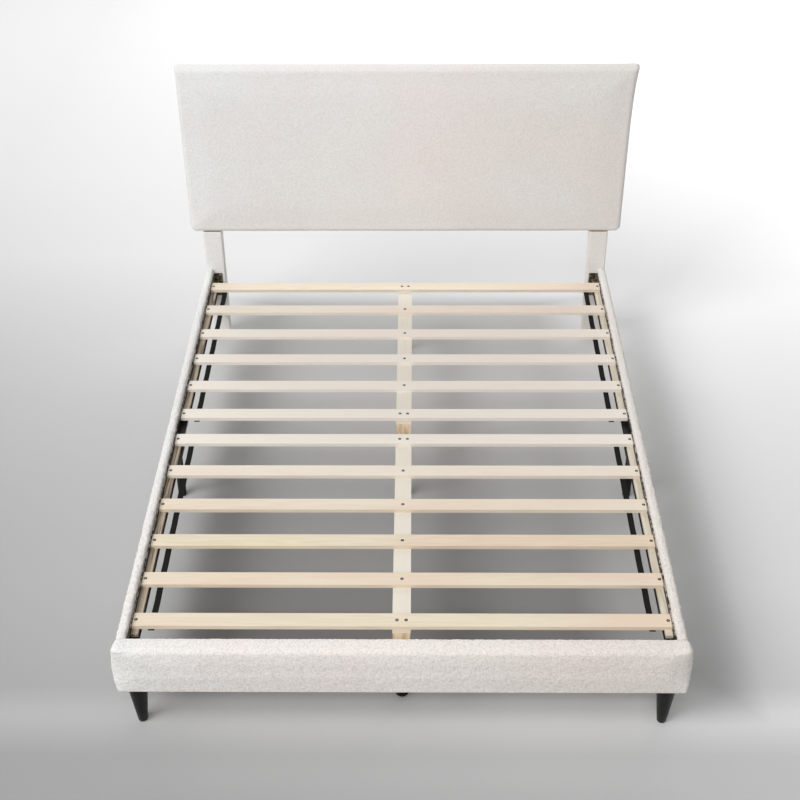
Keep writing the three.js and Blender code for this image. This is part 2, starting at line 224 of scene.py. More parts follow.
def wood_material(name, axis, light, dark, line, knots=0.0, seed=0.0, varied_with_painted_light=False):
    """Planed softwood with its grain along one axis (0, 1 or 2)."""
    s = Shader(name, 0.55, Specular_IOR_Level=0.35)

    def stretched(along, across):
        factors = [across] * 3
        factors[axis] = along
        return s.scaled(factors, (seed, seed * 1.7, seed * 0.6))

    board = s.noise(stretched(0.35, 3.0), 1.0, 1.0)
    figure = s.noise(stretched(1.6, 26.0), 1.0, 2.0, 0.5, 0.6)
    bands = s.math("PINGPONG", s.times(figure, 7.0), 0.5)
    rings = s.spread(bands, 0.0, 0.5, 0.0, 1.0)
    pores = s.noise(stretched(22.0, 900.0), 1.0, 2.0)
    tone = s.total(board, 0.75 - line * 0.5, pores, 0.25)
    tone = s.math("ADD", s.times(rings, line), tone)
    base = s.ramp(tone, (0.25, dark), (0.62, light))
    if knots:
        spots = s.cells(stretched(2.2, 11.0), 1.0)
        ring = s.spread(spots, 0.035, 0.10, 1.0, 0.0)
        base = s.mix(s.times(ring, knots), base, tuple(c * 0.35 for c in dark))
    if varied_with_painted_light:  # paler towards the middle of the bed as painted light, pinker and yellower in long stretches
        from_middle = s.math("ABSOLUTE", s.math("SUBTRACT", s.axis("Y"), 0.25))
        pale = s.spread(from_middle, 0.35, 0.75, 1.0, 0.0)
        patch = s.noise(s.scaled((1.1, 5.0, 1.0), (4.0, 2.0, 0)), 1.0)
        patch = s.math("ADD", patch, s.spread(s.axis("X"), -0.7, 0.7, -0.04, 0.20))
        cast = s.ramp(
            patch, (0.36, (1.0, 1.0, 0.90)), (0.5, (1.0, 1.0, 0.98)), (0.64, (0.985, 0.91, 0.87))
        )
        base = s.mix(1.0, base, cast, "MULTIPLY")
        base = s.mix(s.times(pale, 0.6), base, (0.92, 0.88, 0.84))
    s.colour(base)
    s.rough(s.spread(pores, 0.2, 0.8, 0.47, 0.67))
    s.bump((rings, 0.0004, 0.25), (pores, 0.0003, 0.35))
    return s.material


def steel_material():
    s = Shader("powder_coated_steel", 0.45, Specular_IOR_Level=0.3)
    orange_peel = s.noise(s.place, 1400.0, 2.0)
    dust = s.noise(s.place, 35.0, 4.0)
    coat = s.ramp(dust, (0.35, (0.006, 0.006, 0.006)), (0.7, (0.013, 0.012, 0.012)))
    # The steel's top edges beside the slats are painted a pale brown in patches.
    pale_spots = s.spread(s.noise(s.place, 75.0, 2.0), 0.46, 0.54, 0.0, 1.0)
    pale_top_edge = s.times(s.spread(s.axis("Z"), 0.3035, 0.3045), pale_spots)
    s.colour(s.mix(pale_top_edge, coat, (0.42, 0.37, 0.30)))
    s.rough(s.spread(dust, 0.3, 0.7, 0.38, 0.55))
    s.bump((orange_peel, 0.0003, 0.35))
    return s.material


def flecked_material(
    name, roughness, noise, stops, rough=None, bump=None, scale=None, **settings
):
    """A finish that one noise draws: its colours, its range of roughness and its bump."""
    s = Shader(name, roughness, **settings)
    fleck = s.noise(s.scaled(scale) if scale else s.place, *noise)
    s.colour(s.ramp(fleck, *stops))
    if rough:
        s.rough(s.spread(fleck, 0.3, 0.7, *rough))
    if bump:
        s.bump((fleck, *bump))
    return s.material


def webbing_material():
    """Plain-woven strap: ribs across its width, crossed by finer threads along it."""
    s = Shader("woven_webbing", 0.85, Specular_IOR_Level=0.2)
    ribs = s.add("TexWave", {"bands_direction": "Y"}, Vector=s.place, Scale=95.0,
                 Distortion=0.6, Detail=1.0).outputs["Fac"]
    threads = s.add("TexWave", {"bands_direction": "X"}, Vector=s.place, Scale=190.0,
                    Distortion=0.8, Detail=1.0).outputs["Fac"]
    weave = s.times(ribs, s.spread(threads, 0.0, 1.0, 0.5, 1.0))
    s.colour(s.ramp(weave, (0.0, (0.003, 0.003, 0.003)), (1.0, (0.016, 0.015, 0.014))))
    s.bump((weave, 0.0006, 0.8))
    return s.material


# Painted light: the floor is painted brighter towards the back (FLOOR_TONES) and towards the right
# (FLOOR_SIDES), standing in for how the studio light falls off.
FLOOR_TONES = [
    (position, (tone, tone, tone * 1.004))
    for position, tone in (
        (0.0, 0.34), (0.19, 0.42), (0.29, 0.54), (0.44, 0.64), (0.60, 0.83), (1.0, 0.81)
    )
]
FLOOR_SIDES = (0.64, 1.50)
UNDER_BED_MIDDLE = 0.2


def floor_material():
    s = Shader("pale_floor", 0.85, Specular_IOR_Level=0.1)
    x, y = s.axis("X"), s.axis("Y")
    base = s.ramp(s.spread(y, -2.5, 4.5), *FLOOR_TONES)
    across = s.spread(x, -2.0, 2.0, *FLOOR_SIDES)

    def faded(amount, openness):
        """The amount, brought to 1 where openness is 1."""
        return s.math("ADD", amount, s.times(openness, s.math("SUBTRACT", 1.0, amount)))

    across = faded(across, s.spread(y, -0.5, 2.5, 0.0, 0.60))
    # Painted shade under the bed: darkest towards the foot, darker again at the head end and
    # towards the right, and faded out past the rails and the ends.
    side = s.spread(s.math("ABSOLUTE", x), 0.55, 0.85)
    from_middle = s.math("ABSOLUTE", s.math("SUBTRACT", y, UNDER_BED_MIDDLE))
    end = s.spread(from_middle, 1.08, 1.16)
    shelter = s.times(s.spread(y, -0.60, 0.15, 0.52, 0.92), s.spread(y, 0.60, 0.95, 1.0, 0.75))
    shelter = s.times(shelter, s.spread(x, 0.0, 0.7, 1.0, 0.88))
    # The strip beside the right rail, away from the key light.
    lee = s.spread(y, -1.0, 1.5, 0.66, 0.95)
    clear = s.math("MAXIMUM", s.spread(x, 0.88, 1.08), s.spread(x, 0.70, 0.86, 1.0, 0.0))
    clear = s.math("MAXIMUM", clear, s.spread(from_middle, 1.02, 1.25))
    shade = s.times(faded(shelter, s.math("MAXIMUM", side, end)), faded(lee, clear))
    # The floor just before the foot rail, where the rail hides it from the back light.
    before_rail = s.math(
        "MINIMUM", s.spread(y, -1.16, -1.04, 1.0, 1.20), s.spread(y, -1.0, -0.90, 1.20, 1.0)
    )
    tone = s.times(across, s.times(shade, before_rail))
    s.colour(s.mix(1.0, base, s.grey(tone), "MULTIPLY"))
    return s.material


BOUCLE = boucle_material()
LINING = lining_material()
BOARD_TONES = ((0.62, 0.48, 0.32), (0.43, 0.31, 0.19))
SLAT_WOOD = wood_material(
    "pine_slat", 0, (0.79, 0.70, 0.57), (0.70, 0.60, 0.465), 0.22, varied_with_painted_light=True
)
STRIP_WOOD = wood_material(
    "pine_strip", 1, (0.78, 0.73, 0.635), (0.73, 0.67, 0.57), 0.22, seed=3.1
)
BEAM_WOOD = wood_material(
    "beam_wood", 1, (0.66, 0.52, 0.36), (0.44, 0.31, 0.19), 0.45, 0.6, seed=5.3
)
LEDGE_WOOD = wood_material(
    "ledge_wood", 1, (0.76, 0.69, 0.57), (0.56, 0.48, 0.37), 0.4, 0.4, seed=9.7
)
# The left ledges are painted darker, a painted shadow of the left rail, with dark knots.
LEDGE_SHADED = wood_material(
    "ledge_painted_shade", 1, (0.52, 0.43, 0.33), (0.11, 0.075, 0.05), 0.7, 1.0, seed=7.7
)
RAIL_WOOD = wood_material("rail_board_wood", 1, *BOARD_TONES, 0.4, 0.5, seed=2.2)
CROSS_WOOD = wood_material("cross_board_wood", 0, *BOARD_TONES, 0.4, 0.5, seed=4.4)
POST_WOOD = wood_material("post_wood", 2, *BOARD_TONES, 0.4, 0.3, seed=6.6)
STEEL = steel_material()
BRACKET_WITH_HIGHLIGHTS = flecked_material(  # a dark coating, painted with brown patches that stand for highlights
    "bracket_painted_highlight", 0.5, (95.0, 4.0, 0.6),
    ((0.38, (0.016, 0.013, 0.008)), (0.5, (0.09, 0.075, 0.045)), (0.62, (0.30, 0.25, 0.16))),
    (0.4, 0.65), (0.0006, 0.5), Specular_IOR_Level=0.35,
)
LEG = flecked_material(
    "satin_black_leg", 0.38, (1.0, 3.0),
    ((0.3, (0.005, 0.0045, 0.0045)), (0.7, (0.012, 0.0105, 0.010))),
    (0.32, 0.46), (0.0003, 0.3), (420.0, 420.0, 14.0), Specular_IOR_Level=0.2,
)
WEBBING = webbing_material()
SCREW = flecked_material(
    "zinc_black_screw", 0.55, (900.0, 2.0),
    ((0.3, (0.003, 0.003, 0.003)), (0.75, (0.012, 0.011, 0.010))),
    (0.28, 0.5), Specular_IOR_Level=0.15,
)
STAPLE = flecked_material(
    "bright_staple", 0.3, (700.0, 2.0),
    ((0.3, (0.45, 0.44, 0.42)), (0.7, (0.65, 0.64, 0.62))), Metallic=1.0,
)
GLIDE = flecked_material(
    "grey_glide", 0.7, (1200.0, 2.0),
    ((0.3, (0.10, 0.10, 0.10)), (0.7, (0.17, 0.17, 0.165))), bump=(0.0003, 0.4),
)


# ------------ mesh helpers
def new_object(name, points, faces, material, smooth=True):
    mesh = bpy.data.meshes.new(name)
    mesh.from_pydata([tuple(map(float, p)) for p in points], [], faces)
    mesh.materials.append(material)
    obj = bpy.data.objects.new(name, mesh)
    bpy.context.scene.collection.objects.link(obj)
    if smooth:
        mesh.polygons.foreach_set("use_smooth", [True] * len(mesh.polygons))
    mesh.update()
    return obj


def closed_tube(rows, wide):
    """Faces that join rows of wide points each, round every row, and cap both ends."""
    faces = []
    for a in range(0, (rows - 1) * wide, wide):
        faces += band(a, a + wide, wide)
    return faces + [list(range(wide))[::-1], list(range((rows - 1) * wide, rows * wide))]


def band(a, b, wide):
    """Faces between the rows of points that start at a and b."""
    return [[a + i, a + (i + 1) % wide, b + (i + 1) % wide, b + i] for i in range(wide)]


def circle(radius, z, count, x=0.0, y=0.0):
    turns = (2 * math.pi * i / count for i in range(count))
    return [(x + radius * math.cos(a), y + radius * math.sin(a), z) for a in turns]


def face_outward(obj):
    mesh = bmesh.new()
    mesh.from_mesh(obj.data)
    bmesh.ops.recalc_face_normals(mesh, faces=mesh.faces)
    mesh.to_mesh(obj.data)
    mesh.free()


def crease_edges(obj, chosen):
    """Keeps the edges sharp whose two points chosen() accepts."""
    crease = obj.data.attributes.new("crease_edge", "FLOAT", "EDGE")
    for edge in obj.data.edges:
        if chosen(*edge.vertices):
            crease.data[edge.index].value = 1.0


def points_of(obj):
    co = np.zeros(len(obj.data.vertices) * 3)
    obj.data.vertices.foreach_get("co", co)
    return co.reshape(-1, 3)


def set_points(obj, points):
    obj.data.vertices.foreach_set("co", np.asarray(points, np.float32).ravel())
    obj.data.update()


def normals_of(obj):
    out = np.zeros(len(obj.data.vertices) * 3)
    obj.data.vertex_normals.foreach_get("vector", out)
    return out.reshape(-1, 3)


def settle(obj):
    """Applies every modifier to the mesh."""
    shaped = obj.evaluated_get(bpy.context.evaluated_depsgraph_get())
    mesh = bpy.data.meshes.new_from_object(shaped)
    obj.modifiers.clear()
    old, obj.data = obj.data, mesh
    bpy.data.meshes.remove(old)


def value_noise(points, cell, seed):
    """Smooth noise in -1..1 whose lumps are about one cell wide."""
    scaled = points / cell
    base = np.floor(scaled).astype(np.int64)
    part = scaled - base
    part = part * part * (3 - 2 * part)
    total = np.zeros(len(points))
    for corner in range(8):
        step = np.array([corner & 1, corner >> 1 & 1, corner >> 2 & 1])
        k = base + step
        h = (k[:, 0] * 73856093) ^ (k[:, 1] * 19349663) ^ (k[:, 2] * 83492791) ^ (seed * 2654435761)
        h = (h ^ (h >> 13)) * 1274126177 & 0xFFFFFFFF
        h = (h ^ (h >> 16)) & 0xFFFF
        weight = np.prod(np.where(step, part, 1 - part), axis=1)
        total += weight * (h / 32767.5 - 1)
    return total


def nub(obj, held=None, height=0.0008, seed=1):
    """Raises loops of boucle on a fine mesh, apart from the points of held."""
    points = points_of(obj)
    lift = value_noise(points, 0.0080, seed) * height * 0.7
    lift += value_noise(points, 0.0042, seed + 1) * height
    lift += value_noise(points, 0.12, seed + 2) * height * 0.5
    if held is not None:
        lift[held] = 0
    set_points(obj, points + normals_of(obj) * lift[:, None])


def evened(obj, move, held, rounds=12):
    """The move of each point, averaged with its neighbours' while held points stay."""
    ends = np.zeros(len(obj.data.edges) * 2, np.int32)
    obj.data.edges.foreach_get("vertices", ends)
    a, b = ends.reshape(-1, 2).T
    count = np.bincount(ends, minlength=len(move))[:, None]
    for _ in range(rounds):
        total = np.zeros_like(move)
        np.add.at(total, a, move[b])
        np.add.at(total, b, move[a])
        move = (move + total / count) / 2
        move[held] = 0
    return move


def fill(points, target, axes, wall_axis, wall, fade):
    """Stretches the cloth to the target box, fading out towards the wall it is fixed to."""
    weight = np.clip(np.abs(points[:, wall_axis] - wall) / fade, 0, 1)
    for axis in axes:
        place = points[:, axis]
        low, high = place.min(), place.max()
        part = (place - low) / (high - low)
        goal = target[0][axis] + part * (target[1][axis] - target[0][axis])
        points[:, axis] = place + weight * (goal - place)


CLOTH_FRAMES = 20
CLOTH = {
    "quality": 5, "mass": 0.3, "tension_stiffness": 15.0, "compression_stiffness": 15.0,
    "shear_stiffness": 5, "bending_stiffness": 0.5, "use_pressure": True,
    "uniform_pressure_force": 4.0, "vertex_group_mass": "held",
}


def inflate(obj, held, cap):
    """Lets the cloth swell under pressure, with the held points fixed, by at most about cap."""
    group = obj.vertex_groups.new(name="held")
    group.add([int(i) for i in held], 1.0, "REPLACE")
    cloth = obj.modifiers.new("cloth", "CLOTH")
    for key, value in CLOTH.items():
        setattr(cloth.settings, key, value)
    cloth.settings.effector_weights.gravity = 0
    cloth.collision_settings.use_collision = False
    cloth.point_cache.frame_start = 1
    cloth.point_cache.frame_end = CLOTH_FRAMES
    scene = bpy.context.scene
    for step in range(1, CLOTH_FRAMES + 1):
        scene.frame_set(step)
    shaped = obj.evaluated_get(bpy.context.evaluated_depsgraph_get())
    after = np.zeros(len(obj.data.vertices) * 3)
    shaped.data.vertices.foreach_get("co", after)
    before = points_of(obj)
    move = after.reshape(-1, 3) - before
    size = np.linalg.norm(move, axis=1, keepdims=True)
    move *= cap * np.tanh(size / cap) / np.maximum(size, 1e-9)
    move = evened(obj, move, held)
    obj.modifiers.clear()
    obj.vertex_groups.clear()
    set_points(obj, before + move)
    scene.frame_set(1)


def subdivide(obj):
    obj.modifiers.new("fine", "SUBSURF").levels = 1
    settle(obj)


def spaced(low, high, cell, radius, extra=()):
    """Line positions from low to high, closer together in the rounded edges."""
    inner = high - low - 2 * radius
    count = max(1, round(inner / cell))
    lines = [low + radius + inner * i / count for i in range(count + 1)]
    edge = [0.0, 0.3, 0.65]
    lines += [low + radius * e for e in edge] + [high - radius * e for e in edge]
    for value in extra:
        nearest = min(lines, key=lambda line: abs(line - value))
        lines.remove(nearest)
        lines.append(value)
    return np.array(sorted(lines))


class Wrap:
    """A closed box of cloth with rounded edges, on a lattice, with part of one face open."""

    def __init__(self, name, low, high, cell, radius, open_axis, open_side, rect, rim=None):
        self.open_axis, self.open_side, self.rect = open_axis, open_side, rect
        others = [a for a in range(3) if a != open_axis]
        extra = {a: rect[i] for i, a in enumerate(others)}
        lines = [
            spaced(low[a], high[a], cell, radius, extra.get(a, ())) for a in range(3)
        ]
        last = [len(line) - 1 for line in lines]
        index, points, faces, opened = {}, [], [], []

        def vertex(key):
            if key not in index:
                index[key] = len(points)
                points.append([lines[a][key[a]] for a in range(3)])
            return index[key]

        for axis, side in product(range(3), (0, 1)):
            u, v = (axis + 1) % 3, (axis + 2) % 3
            for i, j in product(range(last[u]), range(last[v])):
                corners = []
                for du, dv in ((0, 0), (1, 0), (1, 1), (0, 1)):
                    key = [0, 0, 0]
                    key[axis] = last[axis] * side
                    key[u], key[v] = i + du, j + dv
                    corners.append(tuple(key))
                if not side:
                    corners.reverse()
                faces.append([vertex(k) for k in corners])
                middle = np.mean([[lines[a][k[a]] for a in range(3)] for k in corners], 0)
                inside = all(rect[n][0] < middle[a] < rect[n][1] for n, a in enumerate(others))
                opened.append(axis == open_axis and side == open_side and inside)
        flat = np.array(points)
        low, high = np.array(low), np.array(high)
        wall = low[open_axis] if open_side == 0 else high[open_axis]
        if rim:  # the rounding tightens towards the open face
            depth = np.abs(flat[:, [open_axis]] - wall)
            radius = rim + (radius - rim) * np.clip(depth / 0.05, 0, 1)
        core = np.clip(flat, low + radius, high - radius)
        away = flat - core
        reach = np.linalg.norm(away, axis=1, keepdims=True)
        # A point of the lattice's edge lies on the square; it moves onto the round.
        square = np.abs(away).max(axis=1, keepdims=True)
        rounded = core + away * np.where(reach > 0, square / np.maximum(reach, 1e-9), 1)
        self.obj = new_object(name, rounded, faces, BOUCLE)
        self.opened = opened
        self.wall = wall

    def held(self, depth):
        """The points within depth of the open face."""
        return np.nonzero(np.abs(points_of(self.obj)[:, self.open_axis] - self.wall) < depth)[0]

    def open_up(self, *steps):
        """Cuts the opening, and lines it through (depth, rect) steps to a closed end."""
        obj = self.obj
        mesh = bmesh.new()
        mesh.from_mesh(obj.data)
        mesh.faces.ensure_lookup_table()
        per_face = len(mesh.faces) // len(self.opened)
        gone = [f for f in mesh.faces if self.opened[f.index // per_face]]
        bmesh.ops.delete(mesh, geom=gone, context="FACES")
        rim = [e for e in mesh.edges if e.is_boundary]
        others = [a for a in range(3) if a != self.open_axis]
        inward = 1 if self.open_side == 0 else -1
        start = self.rect
        for depth, rect in steps:
            made = bmesh.ops.extrude_edge_only(mesh, edges=rim)["geom"]
            rim = [g for g in made if isinstance(g, bmesh.types.BMEdge) and g.is_boundary]
            for v in {v for e in rim for v in e.verts}:
                for n, a in enumerate(others):
                    t = (v.co[a] - start[n][0]) / (start[n][1] - start[n][0])
                    v.co[a] = rect[n][0] + min(max(t, 0), 1) * (rect[n][1] - rect[n][0])
                v.co[self.open_axis] = self.wall + inward * depth
            start = rect
        bmesh.ops.contextual_create(mesh, geom=rim)
        bmesh.ops.recalc_face_normals(mesh, faces=mesh.faces)
        mesh.to_mesh(obj.data)
        mesh.free()
        obj.data.polygons.foreach_set("use_smooth", [True] * len(obj.data.polygons))
        obj.data.update()


def finish_piece(obj, replaced=()):
    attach(obj, "root")
    if replaced:
        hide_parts(*replaced)
    return obj


# ------------ headboard
def round_corners(points, low, high, radius, keep_above):
    """Rounds the outline's lower corners, seen from the front."""
    moved = points.copy()
    for sign in (-1, 1):
        edge = high[0] if sign > 0 else low[0]
        core_x = edge - sign * radius
        core_z = low[2] + radius
        dx = (points[:, 0] - core_x) * sign
        dz = core_z - points[:, 2]
        inside = (dx > 0) & (dz > 0) & (points[:, 2] < keep_above)
        reach = np.hypot(dx, dz)
        square = np.maximum(dx, dz)
        factor = np.where(inside & (reach > 0), square / np.maximum(reach, 1e-9), 1)
        moved[:, 0] = np.where(inside, core_x + sign * dx * factor, moved[:, 0])
        moved[:, 2] = np.where(inside, core_z - dz * factor, moved[:, 2])
    return moved


def make_headboard():
    low, high = map(np.array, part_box("headboard_pad"))
    board_low, board_high = map(np.array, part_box("headboard_board"))
    inner = (
        (board_low[0] - GAP, board_high[0] + GAP),
        (board_low[2] - GAP, board_high[2] + GAP),
    )
    swell = np.array([0.003, 0.004, 0.003])
    start_low, start_high = low + swell, high - swell
    start_high[1] = high[1]
    wrap = Wrap("headboard_pad_cloth", start_low, start_high, 0.009, 0.017, 1, 1, inner)
    obj = wrap.obj
    points = points_of(obj)
    underside = (points[:, 2] < start_low[2] + 0.0005) & (points[:, 1] > low[1] + 0.008)
    inflate(obj, wrap.held(0.012), 0.0045)
    points = points_of(obj)
    wide = np.array([0.004, 0, 0])
    fill(points, (low - wide, high + wide), (0, 2), 1, high[1], 0.010)
    fill(points, (low, high), (1,), 1, high[1], 0.030)
    points[underside, 2] = low[2]
    points = round_corners(points, low - wide, high + wide, 0.024, 0.7)
    # The cloth is pulled over the upper corners, the right one the most.
    below = high[2] - points[:, 2]
    for sign, pull, rise in ((-1, 0.001, 0.001), (1, 0.017, 0.003)):
        inset = np.maximum(0, high[0] - points[:, 0] * sign)
        points[:, 0] += sign * pull * np.exp(-inset / 0.05 - below / 0.10)
        points[:, 2] += rise * np.exp(-inset / 0.03 - below / 0.05)
    # Slow waves where the foam under the cloth is uneven.
    front = np.clip((high[1] - 0.02 - points[:, 1]) / 0.03, 0, 1)
    points[:, 1] -= front * 0.0009 * value_noise(points, 0.17, 21)
    set_points(obj, points)
    subdivide(obj)
    nub(obj, wrap.held(0.004), height=0.0005, seed=11)
    wrap.open_up((high[1] - board_low[1] + GAP, inner))
    finish_piece(obj, ["headboard_pad"])


# ------------ foot rail
def make_foot_rail():
    low, high = map(np.array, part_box("foot_rail_cover"))
    board_low, board_high = map(np.array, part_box("foot_rail_board"))
    lip = 0.006
    slot = (
        (board_low[0] - GAP, board_high[0] + GAP),
        (board_low[1] + lip, board_high[1] - lip),
    )
    room = (slot[0], (board_low[1] - GAP, board_high[1] + GAP))
    swell = np.array([0.002, 0.004, 0.002])
    start_low, start_high = low + swell, high - swell
    start_low[2] = low[2]
    start_high[1] = high[1] - 0.0015
    wrap = Wrap("foot_rail_pad_cloth", start_low, start_high, 0.008, 0.014, 2, 0, slot, 0.005)
    obj = wrap.obj
    start = points_of(obj)
    back = np.nonzero(start[:, 1] > high[1] - 0.004)[0]
    inflate(obj, np.union1d(wrap.held(0.003), back), 0.0085)
    swelling = points_of(obj) - start
    # The box is stretched to the full size, and the swelling grows away from the open face.
    full_low = low - np.array([0.0025, 0.001, 0.002])
    full_high = high + np.array([0.005, -0.0005, 0.0])
    points = full_low + (start - start_low) / (start_high - start_low) * (full_high - full_low)
    opening = (
        (start[:, 0] > slot[0][0] - 0.003) & (start[:, 0] < slot[0][1] + 0.003)
        & (start[:, 1] > slot[1][0] - 0.003) & (start[:, 2] < low[2] + 0.001)
    )
    points[opening] = start[opening]
    points += swelling * np.clip((start[:, [2]] - low[2] - 0.004) / 0.06, 0, 1)
    fill(points, (full_low, full_high), (1, 2), 2, low[2], 0.080)
    # The foam's ends are crowned past the board, the most in their upper half.
    level = np.interp(
        points[:, 2], low[2] + np.array([0, 0.045, 0.083, 0.12, 0.15, 0.165]),
        (0, 0.6, 1, 0.95, 0.75, 0.35),
    )
    level *= np.interp(points[:, 1], (low[1] + 0.01, high[1]), (1, 0.15))
    for sign, crown in ((-1, 0.021), (1, 0.016)):
        reach = np.clip((points[:, 0] * sign - 0.76) / 0.04, 0, 1)
        points[:, 0] += sign * crown * level * reach ** 2
    # A fold of cloth tucked in near each end of the front's upper edge.
    for sign, drop, deep in ((-1, 0.014, 0.0030), (1, 0.022, 0.0012)):
        along = np.abs(points[:, 0] - sign * 0.775)
        fade = np.clip((0.030 - along) / 0.02, 0, 1)
        groove = np.exp(-((points[:, 2] - high[2] + drop) / 0.0032) ** 2)
        front = points[:, 1] < low[1] + 0.02
        points[:, 1] += np.where(front, deep * groove * fade, 0)
    set_points(obj, points)
    subdivide(obj)
    nub(obj, wrap.held(0.0015), height=0.0008, seed=31)
    wrap.open_up(
        (board_low[2] - GAP - low[2], slot),
        (board_low[2] - GAP - low[2], room),
        (board_high[2] + GAP - low[2], room),
    )
    finish_piece(obj, ["foot_rail_cover"])


# ------------ side rails
def arc(centre, radius, start, end, steps):
    for i in range(steps + 1):
        a = math.radians(start + (end - start) * i / steps)
        yield (centre[0] + radius * math.cos(a), centre[1] + radius * math.sin(a))


def along_line(a, b, cell):
    count = max(1, round(math.dist(a, b) / cell))
    return [
        (a[0] + (b[0] - a[0]) * i / count, a[1] + (b[1] - a[1]) * i / count)
        for i in range(1, count)
    ]


def side_rail_profile(low, high, board_low, board_high, flap):
    """The cover's section on the right side, as (x, z): its outside, then its lining."""
    swell = 0.0018
    radius = cell = 0.0095
    x0, x1 = low[0] + GAP, high[0] - swell
    z0, z1 = low[2], high[2] - swell
    outside = [(x0, z0 + flap)]
    outside += along_line(outside[-1], (x0, z1 - radius), cell)
    outside += arc((x0 + radius, z1 - radius), radius, 180, 90, 3)
    outside += arc((x1 - radius, z1 - radius), radius, 90, 0, 3)
    outside += along_line(outside[-1], (x1, z0 + radius), cell)
    outside += arc((x1 - radius, z0 + radius), radius, 0, -90, 3)
    inner_x, outer_x = board_low[0] - GAP, board_high[0] + GAP
    bottom, top = board_low[2] - GAP, board_high[2] + GAP
    outside += [((x1 - radius + board_low[0]) / 2, z0), (inner_x, z0)]
    lining = [
        (inner_x, bottom), (outer_x, bottom), (outer_x, top), (inner_x, top),
        (inner_x, z0 + flap),
    ]
    return outside, lining


def make_side_rail(half, side, sign):
    node = f"side_rail_cover_{half}_{side}"
    low, high = map(np.array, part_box(node))
    board_low, board_high = map(np.array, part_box(f"side_rail_board_{half}_{side}"))
    if sign < 0:  # the section is drawn on the right and mirrored
        low[0], high[0] = -high[0], -low[0]
        board_low[0], board_high[0] = -board_high[0], -board_low[0]
    outside, lining = side_rail_profile(low, high, board_low, board_high, 0.050)
    ring = outside + lining
    wide, count = len(ring), len(outside)
    span = high[1] - low[1]
    tuck = 0.004
    steps = round((span - 2 * tuck) / 0.0105)
    stations = [low[1], low[1] + tuck * 0.4]
    stations += [low[1] + tuck + (span - 2 * tuck) * i / steps for i in range(steps + 1)]
    stations += [high[1] - tuck * 0.4, high[1]]
    centre = ((low[0] + high[0]) / 2, (low[2] + high[2]) / 2)
    points = []
    for n, y in enumerate(stations):
        from_joint = n if half == "head" else len(stations) - 1 - n
        pull = {0: 0.0016, 1: 0.0005}.get(from_joint, 0.0)
        for i, (x, z) in enumerate(ring):
            if i < count and pull:
                x -= math.copysign(pull, x - centre[0]) if abs(x - centre[0]) > 0.009 else 0
                z -= pull if z > centre[1] + 0.07 else 0
            points.append((x * sign, y, z))
    faces = [face[::sign] for face in closed_tube(len(stations), wide)]
    obj = new_object(f"side_rail_cloth_{half}_{side}", points, faces, BOUCLE)
    lips = {0, count - 1}
    fixed = [
        k for k in range(len(points))
        if k % wide >= count or k % wide in lips
        or abs(points[k][0]) < low[0] + 0.0009
        or k // wide in (0, 1, len(stations) - 2, len(stations) - 1)
    ]
    inflate(obj, fixed, 0.0022)
    shaped = points_of(obj)
    outer = np.arange(len(shaped)) % wide < count
    across = np.clip((np.abs(shaped[:, 0]) - low[0]) / (high[0] - low[0]), 0, 1) * outer
    rise = np.clip((shaped[:, 2] - low[2]) / (high[2] - low[2]), 0, 1) * outer
    shaped[:, 0] += sign * across * (high[0] + 0.0015 - np.abs(shaped[:, 0]).max())
    shaped[:, 2] += rise * (high[2] + 0.0008 - shaped[:, 2].max())
    set_points(obj, shaped)
    ends = {0, len(stations) - 1}

    def sharp(a, b):
        inner = all(v % wide >= count - 1 or v % wide == 0 for v in (a, b))
        return inner or (a // wide in ends and a // wide == b // wide)

    crease_edges(obj, sharp)
    subdivide(obj)
    fine = points_of(obj)
    hidden = (
        (np.abs(fine[:, 0]) > board_low[0] - 0.001) & (np.abs(fine[:, 0]) < board_high[0] + 0.001)
        & (fine[:, 2] > board_low[2] - 0.001) & (fine[:, 2] < board_high[2] + 0.001)
    ) | (fine[:, 1] < low[1] + 0.001) | (fine[:, 1] > high[1] - 0.001)
    nub(obj, np.nonzero(hidden)[0], height=0.0018, seed=51)
    finish_piece(obj, [node])


